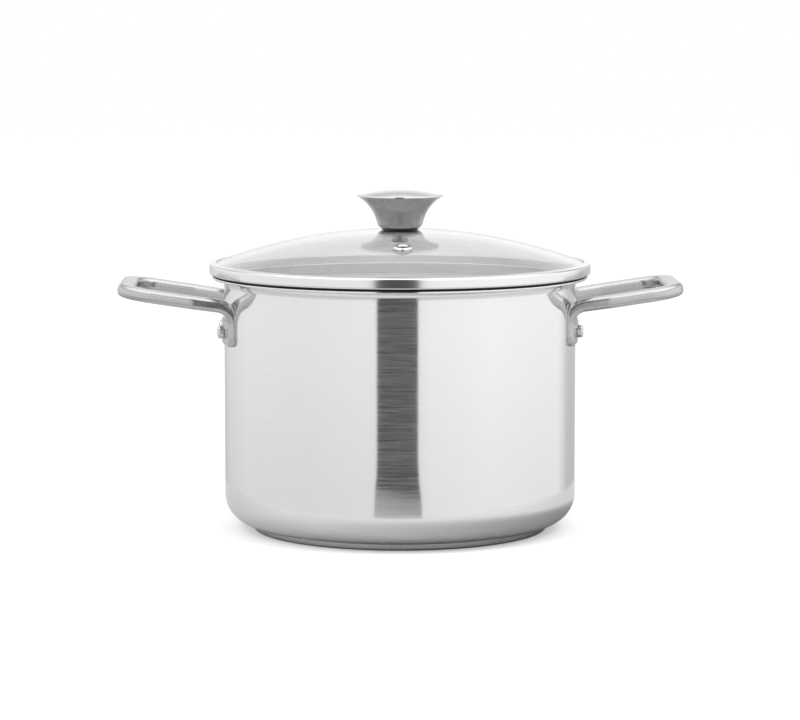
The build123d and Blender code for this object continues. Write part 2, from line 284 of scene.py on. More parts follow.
def joined(first, *others):
    """One piece of several: the other meshes are copied into the first one."""
    work = bmesh.new()
    for piece in (first, *others):
        work.from_mesh(piece.data)
    work.to_mesh(first.data)
    work.free()
    for piece in others:
        bpy.data.objects.remove(piece)
    first.data.shade_smooth()
    return first


def cut_out(piece, drills):
    """The piece with the drills' solids taken out of it, and its edges sharp past the crease angle."""
    for drill in drills:
        cut = piece.modifiers.new("cut", "BOOLEAN")
        cut.operation, cut.solver, cut.object = "DIFFERENCE", "EXACT", drill
    bpy.context.view_layer.update()
    evaluated = piece.evaluated_get(bpy.context.evaluated_depsgraph_get())
    mesh = bpy.data.meshes.new_from_object(evaluated)
    piece.modifiers.clear()
    piece.data = mesh
    for drill in drills:
        bpy.data.objects.remove(drill)
    mesh.shade_smooth()
    mesh.set_sharp_from_angle(angle=np.radians(crease_angle))
    return piece


def face_centres(piece):
    """Centres, in millimetres, and normals of a piece's faces, each an array of rows."""
    faces = piece.data.polygons
    centre, normal = np.empty(3 * len(faces)), np.empty(3 * len(faces))
    faces.foreach_get("center", centre)
    faces.foreach_get("normal", normal)
    return centre.reshape(-1, 3) / MM, normal.reshape(-1, 3)


def repaint(piece, material, chosen):
    """Gives the chosen faces of a piece a second material."""
    piece.data.materials.append(material)
    piece.data.polygons.foreach_set("material_index", chosen.astype(np.int32))
    piece.data.update()


def fit(piece, body, node):
    """The piece rides on a body and stands for a node, which is hidden."""
    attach(piece, body)
    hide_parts(node)
    return piece


# ---------------------------------------------------------------- materials

# A noise's own values mostly lie in noise_range, and the deep end of its scratches in deep_range.
noise_range = (0.25, 0.75)
deep_range = (0.35, 0.65)
# How much darker a scratch's colour is, and how much of the roughness's shift wide clouds add.
scratch_tint = 0.06
cloud_share = 0.4
cloud_size = 60.0
mould_spread = 0.08


def linear(hex_colour):
    """Linear RGBA of an sRGB hex value."""
    value = np.array([int(hex_colour[i : i + 2], 16) for i in (1, 3, 5)]) / 255
    low, high = value / 12.92, ((value + 0.055) / 1.055) ** 2.4
    return (*np.where(value <= 0.04045, low, high).tolist(), 1.0)


def add_node(tree, kind, inputs=None, **settings):
    """Adds a node. settings are its properties, and inputs are values or sockets to link."""
    node = tree.nodes.new(kind)
    for name, value in settings.items():
        setattr(node, name, value)
    for socket, value in (inputs or {}).items():
        if isinstance(value, bpy.types.NodeSocket):
            tree.links.new(value, node.inputs[socket])
        else:
            node.inputs[socket].default_value = value
    return node


def new_material(name):
    """Empty node material and its tree and output."""
    material = bpy.data.materials.new(name)
    material.use_nodes = True
    material.node_tree.nodes.clear()
    output = add_node(material.node_tree, "ShaderNodeOutputMaterial")
    return material, material.node_tree, output


def brushed_metal(name, colour, roughness, spread, along, across, depth, anisotropy=0.0, scatter=0.0):
    """Metal with fine level scratches. A noise stretched along the scratches shifts the roughness by
    spread, the colour by the scratch tint and the height by depth millimetres, and wide clouds shift the
    roughness again. along is the scratches' length in X and Y and across their width in Z, in millimetres.
    anisotropy draws the shine out round Z. scatter is the share of the light that the deepest scratches
    spread evenly, which shows as pale streaks across dark reflections."""
    material, tree, output = new_material(name)
    place = add_node(tree, "ShaderNodeTexCoord").outputs["Object"]
    scale = [1 / (MM * size) for size in (along, along, across)]
    stretch = add_node(tree, "ShaderNodeMapping", {"Vector": place, "Scale": scale})
    noise = {"Vector": stretch.outputs["Vector"], "Scale": 1.0, "Detail": 3.0, "Roughness": 0.6}
    scratch = add_node(tree, "ShaderNodeTexNoise", noise).outputs["Fac"]
    spaced = add_node(tree, "ShaderNodeMapping", {"Vector": place, "Scale": [1 / (MM * cloud_size)] * 3})
    cloud = add_node(tree, "ShaderNodeTexNoise", {"Vector": spaced.outputs["Vector"], "Scale": 1.0})
    grain = add_node(
        tree,
        "ShaderNodeMapRange",
        {
            "Value": scratch,
            "From Min": noise_range[0],
            "From Max": noise_range[1],
            "To Min": roughness - spread,
            "To Max": roughness + spread,
        },
    )
    smear = add_node(
        tree,
        "ShaderNodeMath",
        {0: cloud.outputs["Fac"], 1: 2 * spread * cloud_share, 2: grain.outputs["Result"]},
        operation="MULTIPLY_ADD",
    )
    base = linear(colour)
    dark = (*[c * (1 - scratch_tint) for c in base[:3]], 1.0)
    shade = add_node(tree, "ShaderNodeMix", {"Factor": scratch, 6: dark, 7: base}, data_type="RGBA")
    bump = add_node(tree, "ShaderNodeBump", {"Height": scratch, "Distance": depth * MM, "Strength": 1.0})
    inputs = {
        "Base Color": shade.outputs[2],
        "Metallic": 1.0,
        "Roughness": smear.outputs["Value"],
        "Normal": bump.outputs["Normal"],
        "Anisotropic": anisotropy,
    }
    if scatter:
        polish = add_node(
            tree,
            "ShaderNodeMapRange",
            {
                "Value": scratch,
                "From Min": deep_range[0],
                "From Max": deep_range[1],
                "To Min": 1.0,
                "To Max": 1 - scatter,
            },
        )
        inputs["Metallic"] = polish.outputs["Result"]
    if anisotropy:
        tangent = add_node(tree, "ShaderNodeTangent", direction_type="RADIAL", axis="Z")
        inputs["Tangent"] = tangent.outputs["Tangent"]
    shader = add_node(tree, "ShaderNodeBsdfPrincipled", inputs)
    tree.links.new(shader.outputs["BSDF"], output.inputs["Surface"])
    return material


def moulded(name, colour, roughness, grain, depth, **extra):
    """Moulded rubber or plastic with a fine eggshell grain, grain and depth in millimetres."""
    material, tree, output = new_material(name)
    place = add_node(tree, "ShaderNodeTexCoord").outputs["Object"]
    spaced = add_node(tree, "ShaderNodeMapping", {"Vector": place, "Scale": [1 / (MM * grain)] * 3})
    texture = add_node(tree, "ShaderNodeTexNoise", {"Vector": spaced.outputs["Vector"], "Scale": 1.0})
    rough = add_node(
        tree,
        "ShaderNodeMapRange",
        {
            "Value": texture.outputs["Fac"],
            "To Min": roughness - mould_spread,
            "To Max": roughness + mould_spread,
        },
    )
    bump = add_node(tree, "ShaderNodeBump", {"Height": texture.outputs["Fac"], "Distance": depth * MM})
    inputs = {
        "Base Color": linear(colour),
        "Roughness": rough.outputs["Result"],
        "Normal": bump.outputs["Normal"],
        **extra,
    }
    shader = add_node(tree, "ShaderNodeBsdfPrincipled", inputs)
    tree.links.new(shader.outputs["BSDF"], output.inputs["Surface"])
    return material


def tempered_glass(name, colour):
    """Clear soda-lime glass, 4 mm thick. Lamps shine through it, so that it casts no black shadow."""
    material, tree, output = new_material(name)
    glass = add_node(
        tree,
        "ShaderNodeBsdfPrincipled",
        {"Base Color": linear(colour), "Roughness": 0.0, "IOR": 1.5, "Transmission Weight": 1.0},
    )
    clear = add_node(tree, "ShaderNodeBsdfTransparent", {"Color": linear(colour)})
    path = add_node(tree, "ShaderNodeLightPath")
    mix = add_node(
        tree,
        "ShaderNodeMixShader",
        {"Fac": path.outputs["Is Shadow Ray"], 1: glass.outputs["BSDF"], 2: clear.outputs["BSDF"]},
    )
    tree.links.new(mix.outputs["Shader"], output.inputs["Surface"])
    return material


# After its name and colour, each metal has its roughness and that one's spread, and its scratches' length,
# width and depth. A moulded one has its roughness and its grain's size and depth.

# Deep-drawn stainless sheet, polished and then brushed round the axis: mirror-like round the wall,
# blurred up and down, with fine level lines. The lines are drawn coarser than a real brush's, to show.
drawn_steel = brushed_metal(
    "drawn_stainless_brushed_round", "#E6E6E6", 0.08, 0.02, 28, 0.55, 0.003, anisotropy=0.35, scatter=0.13
)
# The same sheet inside, left satin by the wheel: its scratches spread the light, so it is pale and even.
inner_steel = brushed_metal(
    "drawn_stainless_satin_inside", "#F2F2F2", 0.42, 0.06, 20, 0.8, 0.004, scatter=0.9
)
# Underside of the rim's roll, in the seam between lid and pot: painted shade, a dull dark colour that stands
# in for the shadow in the gap.
seam_shade_steel = brushed_metal("rolled_stainless_painted_seam_shade", "#2E2E2E", 0.5, 0.05, 4, 1.0, 0.004)
# Rolled stainless strip, buffed along its length: bright, with softer reflections than the wall's.
rim_steel = brushed_metal("rolled_stainless_buffed", "#E8E8E8", 0.14, 0.03, 20, 0.3, 0.002, anisotropy=0.4)
# Solid stainless bar, bent and polished by hand: a soft sheen with slight waves and no brush lines.
handle_steel = brushed_metal("solid_stainless_polished", "#BDBDBD", 0.25, 0.03, 9, 6.0, 0.02)
# Stainless capsule sheet, brushed on a wheel: duller than the wall.
base_steel = brushed_metal("capsule_stainless_satin", "#BCBCBC", 0.26, 0.06, 12, 0.3, 0.004, anisotropy=0.5)
# Spun stainless of the knob, brushed very finely round its axis: it mirrors the room with a faint blur.
knob_steel = brushed_metal("spun_stainless_satin", "#C2C2C2", 0.08, 0.02, 6, 0.3, 0.003, anisotropy=0.35)
# Pressed stainless of the cap, paler than the body under it.
cap_steel = brushed_metal("pressed_stainless_bright", "#E2E2E2", 0.1, 0.03, 6, 0.3, 0.003)
# Cold-headed stainless rivets, tumbled: evenly bright, with no direction.
rivet_steel = brushed_metal("headed_stainless_tumbled", "#D6D6D6", 0.2, 0.04, 5, 5.0, 0.002)
# Stainless screw and washers as they come from the machine: dull and finely lined.
fastener_steel = brushed_metal("fastener_stainless_plain", "#C2C2C2", 0.28, 0.06, 2, 1.0, 0.004)
# Cast aluminium disc, out of sight in the base: grey and grainy.
core_aluminium = brushed_metal("cast_aluminium_disc", "#C9CACC", 0.45, 0.08, 3, 3.0, 0.02)
# Turned brass bush, out of sight in the knob: yellow, with fine tool rings.
bush_brass = brushed_metal("turned_brass_bush", "#C9A45C", 0.3, 0.06, 4, 0.2, 0.004, anisotropy=0.4)
# Moulded food-grade silicone of the seal and pads: milky, and it lets some light through.
silicone = moulded(
    "moulded_silicone_clear", "#EDEDED", 0.5, 0.8, 0.01, **{"IOR": 1.41, "Transmission Weight": 0.35}
)
# Moulded silicone with carbon black, for the pad under the knob: matt and dark.
black_silicone = moulded("moulded_silicone_black", "#232323", 0.45, 0.8, 0.01)
# Moulded phenolic filler of the knob: black with an eggshell grain.
filler = moulded("moulded_phenolic_black", "#1B1B1C", 0.45, 0.6, 0.01)
# Tempered soda-lime glass: clear and hardly tinted at this thickness.
glass = tempered_glass("tempered_soda_lime_glass", "#FCFDFD")


# ---------------------------------------------------------------- pot

# Steps of the arcs in the shell's outline, and the ends of the bead's arc, from under the lip over its
# edge to its top.
shell_arc_steps = 14
bead_start, bead_end = -0.75 * np.pi, 0.5 * np.pi
# How far short of the bead's centre the lip's flat underside stops, and where the bead takes over.
lip_flat_stop = 0.4
bead_takes_over = 0.5
# Part of a face's normal that makes it count as facing inwards or up, and the slack on the inner radius.
facing_share = 0.1
inside_slack = 0.05


def make_shell():
    """Drawn sheet: both faces of the wall in one closed outline, from the axis round the lip and back."""
    flare_r = pot_outer_r + lip_flare_r
    lip_under_z = pot_top_z - pot_wall
    edge_r = lip_r - lip_bead_r
    outer = rounded(
        [
            (0, shell_bottom_z),
            (pot_outer_r, shell_bottom_z),
            (pot_outer_r, lip_under_z),
            (edge_r - lip_flat_stop, lip_under_z),
        ],
        [0, corner_r, lip_flare_r, 0],
        closed=False,
        steps=shell_arc_steps,
    )
    bead_turn = np.linspace(bead_start, bead_end, shell_arc_steps)
    bead_centre = np.array([edge_r, pot_top_z - lip_bead_r])
    bead = bead_centre + lip_bead_r * np.stack([np.cos(bead_turn), np.sin(bead_turn)], -1)
    inner = rounded(
        [
            (flare_r + lip_flat, pot_top_z),
            (pot_inner_r, pot_top_z),
            (pot_inner_r, shell_bottom_z + pot_wall),
            (0, shell_bottom_z + pot_wall),
        ],
        [0, lip_flare_r + pot_wall, corner_r - pot_wall, 0],
        closed=False,
        steps=shell_arc_steps,
    )
    profile = np.concatenate([outer[outer[:, 0] < edge_r - bead_takes_over], bead, inner])
    shell = turned("pot_wall_and_lip", profile, drawn_steel, closed=False, segments=320)
    centre, normal = face_centres(shell)
    radius = np.hypot(centre[:, 0], centre[:, 1])
    inward = (normal * centre)[:, :2].sum(1) < -facing_share * radius
    upward = normal[:, 2] > facing_share
    repaint(shell, inner_steel, (radius < pot_inner_r + inside_slack) & (inward | upward))
    return fit(shell, "pot", "pot_shell")


def make_base():
    """Capsule cup round the disc: a closed outline with a rounded lower edge and a thin upright wall."""
    inner_r = base_r - base_sheet
    corners = [
        (0, 0),
        (base_r, 0),
        (base_r, base_top_z),
        (inner_r, base_top_z),
        (inner_r, base_sheet),
        (0, base_sheet),
    ]
    radii = [0, base_edge_r, 0.2, 0.2, base_edge_r - base_sheet, 0]
    profile = rounded(corners, radii, closed=False, steps=8)
    cap = turned("base_capsule", profile, base_steel, closed=False)
    return fit(cap, "pot", "base_cap")


# ---------------------------------------------------------------- handles

# Columns of points round the wall on the plate between the legs.
plate_columns = 40


def bar_level(x):
    """Height of the bar's middle line, which climbs away from the wall."""
    return handle_z + handle_rise * (x - pot_outer_r)


def bar_path():
    """Middle line of the bar, from one foot up the wall, round the loop and down to the other foot."""
    foot = np.array([np.sqrt(pot_outer_r**2 - root_half_width**2), root_half_width])
    shoulder = np.array([pot_outer_r + shoulder_length, arm_y])
    end = np.array([handle_end_x - bar_width / 2, arm_y])
    outward = unit(shoulder - foot)
    leg = foot + outward * (wall_gap + leg_thickness - bar_height / 2)
    half = [(*leg, leg_bottom_z)] + [(*p, bar_level(p[0])) for p in (leg, shoulder, end)]
    mirrored = [(x, -y, z) for x, y, z in reversed(half)]
    radii = [0, root_bend_r, side_bend_r, end_bend_r]
    path = rounded(half + mirrored, radii + radii[::-1], closed=False, step=4.0, steps=16, guard=0.5)
    return path, outward


def bar_frames(path, outward):
    """At each point of the path, the direction along it, the bar's width and the bar's height. The width
    lies in the loop's sloping plane there, and level and square to the leg along the legs."""
    along = np.gradient(path, axis=0)
    along /= np.linalg.norm(along, axis=1)[:, None]
    slope_up = unit(np.array([-handle_rise, 0, 1]))
    loop_width = np.cross(slope_up, along)
    side = np.sign(path[:, 1])
    leg_width = np.stack([-outward[1] * np.ones_like(side), outward[0] * side, 0 * side], -1)
    leg_width *= np.sign((leg_width * loop_width).sum(1))[:, None]
    start_x = path[:, 0].min() + root_bend_r
    blend = np.clip((path[:, 0] - start_x) / shoulder_length, 0, 1)[:, None]
    width = leg_width * (1 - blend) + loop_width * blend
    width /= np.linalg.norm(width, axis=1)[:, None]
    return along, width, np.cross(along, width)


def bar_grid():
    """Bar: a rounded rectangle carried along the path. Towards each foot its width shrinks on a quarter
    circle, a flat end closes it, and what would lie inside the wall is moved out to the wall's face."""
    path, outward = bar_path()
    _, width, height = bar_frames(path, outward)
    half_w, half_h = bar_width / 2, bar_height / 2
    corners = [(-half_w, -half_h), (half_w, -half_h), (half_w, half_h), (-half_w, half_h)]
    section = rounded(corners, [bar_edge_r] * 4, steps=6, step=2.0, guard=0.3)
    steps = np.linalg.norm(np.diff(path, axis=0), axis=1)
    travelled = np.concatenate([[0], np.cumsum(steps)])
    from_end = np.minimum(travelled, travelled[-1] - travelled)
    short = np.clip(foot_corner_r - from_end, 0, foot_corner_r)
    shrink = 1 - (foot_corner_r - np.sqrt(foot_corner_r**2 - short**2)) / half_w
    across = section[None, :, 0] * shrink[:, None]
    up = np.broadcast_to(section[None, :, 1], across.shape)
    grid = path[:, None] + across[..., None] * width[:, None] + up[..., None] * height[:, None]
    first = np.repeat(path[:1][:, None], len(section), 1)
    last = np.repeat(path[-1:][:, None], len(section), 1)
    grid = np.concatenate([first, grid, last])
    radius = np.hypot(grid[..., 0], grid[..., 1])
    grid[..., :2] *= np.maximum(1, (pot_outer_r + wall_gap) / radius)[..., None]
    return grid


def plate_grid():
    """Plate between the legs: an upright rounded strip turned round the wall, closed at both ends."""
    inner_r = pot_outer_r + wall_gap
    outer_r = inner_r + plate_thickness
    plate_top_z = leg_bottom_z + plate_height
    inner_side = [(inner_r, leg_bottom_z), (inner_r, plate_top_z)]
    outer_side = [(outer_r, leg_bottom_z), (outer_r, plate_top_z)]
    outline = rounded([inner_side[0], *outer_side, inner_side[1]], [0, 0.5, 0.5, 0], steps=4)
    root_turn = np.arcsin(root_half_width / pot_outer_r)
    plate = turned_grid(outline, plate_columns, 2 * root_turn, -root_turn)
    middle = np.repeat(plate.mean(0, keepdims=True), len(outline), 0)
    return np.concatenate([middle[:, :1], plate, middle[:, -1:]], 1)


def make_handle(name, node, sign):
    """One handle: the bar and the plate between its legs, on the side of X that sign gives."""
    flip = np.array([sign, 1, 1])
    bar = surface(name, bar_grid() * flip, False, True, handle_steel)
    web = surface(name + "_plate", plate_grid() * flip, True, False, handle_steel)
    return fit(joined(bar, web), "pot", node)


def make_rivet(name, node, sign_x, sign_y):
    """Rivet: turned outline with a raised round-edged head outside and a low head inside the wall."""
    turn = np.arcsin(rivet_half_spacing / pot_outer_r)
    outer = pot_outer_r + plate_thickness + 2 * wall_gap
    sink = pot_inner_r - np.sqrt(pot_inner_r**2 - rivet_inner_head_r**2)
    grip = outer - (pot_inner_r - sink - wall_gap)
    corners = [
        (0, rivet_head_height),
        (rivet_head_r, rivet_head_height),
        (rivet_head_r, 0),
        (rivet_shank_r, 0),
        (rivet_shank_r, -grip),
        (rivet_inner_head_r, -grip),
        (rivet_inner_head_r, -grip - rivet_inner_head_height),
        (0, -grip - rivet_inner_head_height),
    ]
    profile = rounded(corners, [0, 1.3, 0.2, 0, 0, 0.2, 1.0, 0], closed=False, steps=8)
    outward = np.array([sign_x * np.cos(turn), sign_y * np.sin(turn), 0])
    origin = outward * outer + np.array([0, 0, leg_bottom_z + plate_height / 2])
    grid = placed(turned_grid(profile, segments=64), origin, (0, 0, 1), outward)
    return fit(surface(name, grid, False, True, rivet_steel), "pot", node)


# ---------------------------------------------------------------- lid

# Rows of points from the middle to the edge of the glass and the cap, and up the knob's side.
glass_rows = 70
knob_cap_rows = 36
knob_rows = 40


def make_glass():
    """Dome: two spheres about one point, with ground edges, a middle hole and a hole for the vent."""
    spread = np.linspace(glass_hole_r, glass_r, glass_rows)
    top = np.stack([spread, glass_top(spread)], -1)
    bottom = np.stack([spread, glass_bottom(spread)], -1)[::-1]
    dome = turned("lid_dome", np.concatenate([top, bottom]), glass, segments=288)
    reach = 2 * glass_thickness
    drill_profile = np.array([(0, -reach), (vent_tube_r + hole_clearance, -reach)])
    drill_profile = np.concatenate([drill_profile, drill_profile[::-1] * [1, -1]])
    drill = surface("vent_drill", vent_placed(turned_grid(drill_profile, segments=48)), False, True, glass)
    return fit(cut_out(dome, [drill]), "lid", "lid_glass")


def vent_placed(grid):
    """Grid moved onto the glass's upper face at the vent, square to the glass."""
    height = glass_top(vent_distance)
    square_to_glass = (0, -vent_distance, height - glass_centre_z)
    return placed(grid, (0, -vent_distance, height), (1, 0, 0), square_to_glass)


# A face is part of the seam, which is painted dark as shade, if its normal points down by seam_facing, and it
# lies further in than seam_inset from the rim's face and no lower than seam_drop below the pot's top.
seam_facing = 0.5
seam_inset = 0.5
seam_drop = 0.5


def make_band():
    """Rolled rim: crimp on the glass, upright face, floor with a step to the seat, and a skirt."""
    floor_z = pot_top_z + rim_face_lift
    seat_z = pot_top_z + seat_gap
    step = floor_z - seat_z
    step_r = lip_r + wall_gap + step / 2
    skirt_r = pot_inner_r - skirt_clearance
    crimp_r = rim_r - rim_crimp_width
    crimp_z = glass_top(crimp_r) + wall_gap
    edge_z = glass_top(glass_r) + wall_gap
    sheet = rim_sheet
    corners = [
        (crimp_r, crimp_z),
        (crimp_r, crimp_z + sheet),
        (rim_r, edge_z + sheet + rim_crown),
        (rim_r, floor_z),
        (step_r, floor_z),
        (step_r - step, seat_z),
        (skirt_r, seat_z),
        (skirt_r, skirt_bottom_z),
        (skirt_r - sheet, skirt_bottom_z),
        (skirt_r - sheet, seat_z + sheet),
        (step_r - step - seat_step_slant, seat_z + sheet),
        (step_r - seat_step_slant, floor_z + sheet),
        (rim_r - sheet, floor_z + sheet),
        (rim_r - sheet, edge_z),
        (glass_r, edge_z),
    ]
    radii = [0.15, 0.2, 1.6, 1.2, 0.3, 0.3, 0.6, 0.2, 0.2, 0.8, 0.3, 0.3, 0.6, 0.5, 0.4]
    band = turned("lid_rim", rounded(corners, radii, steps=6, step=1.5), rim_steel, segments=320)
    # Painted shade: the rim's downward faces in the seam take the dark seam material.
    centre, normal = face_centres(band)
    under = (normal[:, 2] < -seam_facing) & (centre[:, 2] > pot_top_z - seam_drop)
    repaint(band, seam_shade_steel, under & (np.hypot(centre[:, 0], centre[:, 1]) < rim_r - seam_inset))
    return fit(band, "lid", "lid_band")


def make_vent():
    """Eyelet: a tube with a half-round ring above the glass and a flange rolled out below it."""
    sink = glass_inner_dome_r - np.sqrt(glass_inner_dome_r**2 - vent_ring_r**2)
    flange_top = -glass_thickness - sink - wall_gap - vent_washer_height
    flange_low = flange_top - vent_flange_height
    corners = [
        (vent_bore_r, flange_low),
        (vent_flange_r, flange_low),
        (vent_flange_r, flange_top),
        (vent_tube_r, flange_top),
        (vent_tube_r, wall_gap),
        (vent_ring_r, wall_gap),
        (vent_ring_r, vent_ring_height),
        (vent_bore_r, vent_ring_height),
    ]
    radii = [0.4, 0.44, 0.3, 0.1, 0.1, 0.2, 1.2, 1.2]
    profile = rounded(corners, radii, steps=8, step=1.0, guard=0.05)
    eyelet = surface("steam_vent", vent_placed(turned_grid(profile, segments=96)), True, True, rim_steel)
    return fit(eyelet, "lid", "vent_eyelet")


def make_knob():
    """Knob body: a spun shell, its radius a smooth hollow curve of the height, and its inside a sheet
    thickness within it. The foot is flat with a rounded edge."""
    low, high = knob_low[2], knob_high[2]
    share = np.linspace(0, 1, knob_rows)
    curve = knob_straight_share * share + (1 - knob_straight_share) * share**knob_flare_power
    swell = knob_waist_r + (knob_high[0] - knob_waist_r) * curve
    outer = np.stack([swell, low + knob_foot_rise + share * (high - low - knob_foot_rise)], -1)
    foot_corners = [(knob_bore_r, low), (knob_foot_r, low), tuple(outer[0])]
    foot = rounded(foot_corners, [0, 1.6, 0], closed=False, step=1.5)
    inner = outer[::-1] - [knob_sheet, 0]
    floor = np.array([(knob_foot_r - 2 * knob_sheet, low + knob_sheet), (knob_bore_r, low + knob_sheet)])
    profile = np.concatenate([foot, outer[1:], inner[:-1], floor])
    body = turned("knob_flare", profile, knob_steel, segments=192)
    return fit(body, "lid", "knob_body")


def make_knob_cap():
    """Cap: a shallow dome, a sphere through its crown and its edge, with a thin rounded upright edge."""
    low, high, radius = knob_cap_low[2], knob_cap_high[2], knob_cap_high[0]
    shoulder = low + knob_cap_edge
    rise = high - shoulder
    sphere = (radius**2 + rise**2) / (2 * rise)
    spread = np.linspace(0, radius - knob_cap_round, knob_cap_rows)
    dome = np.stack([spread, high - sphere + np.sqrt(sphere**2 - spread**2)], -1)
    under = np.stack([spread, dome[:, 1] - knob_sheet], -1)[::-1]
    edge = rounded(
        [tuple(dome[-1]), (radius, shoulder), (radius, low), (radius - knob_cap_turn_in, low)],
        [0, 0.45, 0.35, 0],
        closed=False,
        steps=6,
        step=0.5,
        guard=0.05,
    )
    hollow = under[under[:, 0] < radius - knob_cap_hollow]
    cap = turned("knob_dome", np.concatenate([dome, edge[1:], hollow]), cap_steel, closed=False, segments=192)
    return fit(cap, "lid", "knob_cap")


def make_screw():
    """Pan-head screw: a turned outline with a low crowned head, its plain shank and a cross recess."""
    head_low, tip, head_r = screw_low[2], screw_high[2], screw_high[0]
    head_high = lock_low[2]
    corners = [
        (0, head_low),
        (head_r, head_low),
        (head_r, head_high),
        (screw_r, head_high),
        (screw_r, tip),
        (0, tip),
    ]
    profile = rounded(corners, [0, 1.7, 0.2, 0, 0.5, 0], closed=False, steps=8)
    screw = turned("knob_fixing_screw", profile, fastener_steel, closed=False, segments=96)
    drills = []
    for width, length in ((recess_width, recess_length), (recess_length, recess_width)):
        half = np.array([width / 2, length / 2])
        square = np.array([(-1, -1), (1, -1), (1, 1), (-1, 1)]) * half
        levels = np.array([0, 0, 1, 1]) * 2 * recess_depth - recess_depth
        size = np.array([0, 1, recess_taper, 0])
        rings = [np.column_stack([square * s, np.full(4, head_low + z)]) for s, z in zip(size, levels)]
        drills.append(surface("recess_drill", np.array(rings), False, True, fastener_steel))
    return fit(cut_out(screw, drills), "lid", "knob_screw")


def make_ring(name, node, edge, material):
    """Pad or washer: a rectangle with rounded edges turned round the screw, as high and wide as its node."""
    low, high = extent(node)
    bore_r, outer_r = screw_r + hole_clearance, high[0]
    corners = [(bore_r, low[2]), (outer_r, low[2]), (outer_r, high[2]), (bore_r, high[2])]
    profile = rounded(corners, [0.1, edge, edge, 0.1], steps=6, step=2.0, guard=0.05)
    return fit(turned(name, profile, material, segments=96), "lid", node)


# ---------------------------------------------------------------- the pieces

make_shell()
make_base()
make_handle("loop_handle_right", "handle_right", 1)
make_handle("loop_handle_left", "handle_left", -1)
for end, sign_x in (("right", 1), ("left", -1)):
    for side, sign_y in (("front", -1), ("rear", 1)):
        make_rivet(f"rivet_{end}_{side}_head", f"rivet_{end}_{side}", sign_x, sign_y)
make_glass()
make_band()
make_vent()
make_knob()
make_knob_cap()
make_screw()
make_ring("knob_pad", "knob_gasket", 0.3, black_silicone)
make_ring("under_pad", "under_gasket", 0.35, silicone)
make_ring("clamp_washer", "under_washer", 0.3, fastener_steel)
make_ring("small_washer", "lock_washer", 0.3, fastener_steel)

# Solids whose shape stays as it is, with a finer finish.
for node, material in (
    ("base_core", core_aluminium),
    ("band_seal", silicone),
    ("vent_washer", silicone),
    ("knob_core", filler),
    ("knob_insert", bush_brass),
):
    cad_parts[node].data.materials.clear()
    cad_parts[node].data.materials.append(material)

# ---------------------------------------------------------------- floor, light and camera

# Room that the metal mirrors: (compass angle in degrees from the front, level) and (elevation in
# degrees, level). Its strength, and that of the even light on dull surfaces.
room_round = [
    (-180, 0.85),
    (-165, 0.6),
    (-150, 0.78),
    (-120, 0.9),
    (-60, 0.9),
    (-20, 0.94),
    (0, 0.92),
    (20, 1.0),
    (60, 1.06),
    (125, 1.0),
    (140, 0.62),
    (160, 0.55),
    (170, 0.8),
    (180, 0.85),
]
room_up = [
    (-90, 0.5),
    (-30, 0.7),
    (-12, 0.8),
    (-9, 0.85),
    (-5.5, 1.0),
    (0, 1.0),
    (8, 1.3),
    (20, 1.0),
    (28, 0.7),
    (38, 1.3),
    (50, 1.8),
    (90, 1.8),
]
room_strength = 1.12
even_strength = 0.85

# Floor: its half width in metres, its colour, the light it adds for the camera, and its tone in the
# metal, a painted shade darker than its colour. The metal mirrors it only within table_reach, with a painted
# contact shadow under the pot: contact_shadow_levels are the levels at contact_reach[0] for the two sides of
# X in contact_span, and at contact_reach[1] it is full.
floor_half = 12.0
floor_white = 0.82
floor_lift = 0.3
floor_mirrored_shade = 0.74
table_reach = 262.0
table_fade = 25.0
contact_span = (-150.0, 200.0)
contact_reach = (125.0, 205.0)
contact_shadow_levels = (1.0, 0.26)

# Reflection card: its distance in front of the axis, its outline as (X, Z) pairs, its level above the
# slanting edge, and its levels from the foot's lower side to that edge, a painted shadow of the card on the
# floor.
card_distance = 360.0
card_corners = [
    (-100, -16),
    (66, -16),
    (62, 0),
    (55, 12),
    (51, 30),
    (51, 700),
    (-88, 700),
    (-88, 30),
    (-90, 14),
    (-95, 6),
]
card_level = 0.09
card_slant = 0.044
card_edge = 3.1
card_foot = 14.0
foot_shadow_levels = (0.42, 0.27)

# Camera, and the height in metres that the lamps point at.
camera_place = (-57.0, -2190.0, 364.0)
camera_aim = (0.0, 0.0, 115.8)
camera_lens = 144.0
camera_sensor = 36.0
lamp_aim_z = 0.1


def stage_piece(name, corners, material):
    """Flat stage piece with one face, corners in metres."""
    mesh = bpy.data.meshes.new(name)
    mesh.from_pydata(corners, [], [tuple(range(len(corners)))])
    mesh.materials.append(material)
    piece = bpy.data.objects.new(name, mesh)
    bpy.context.scene.collection.objects.link(piece)
    return piece


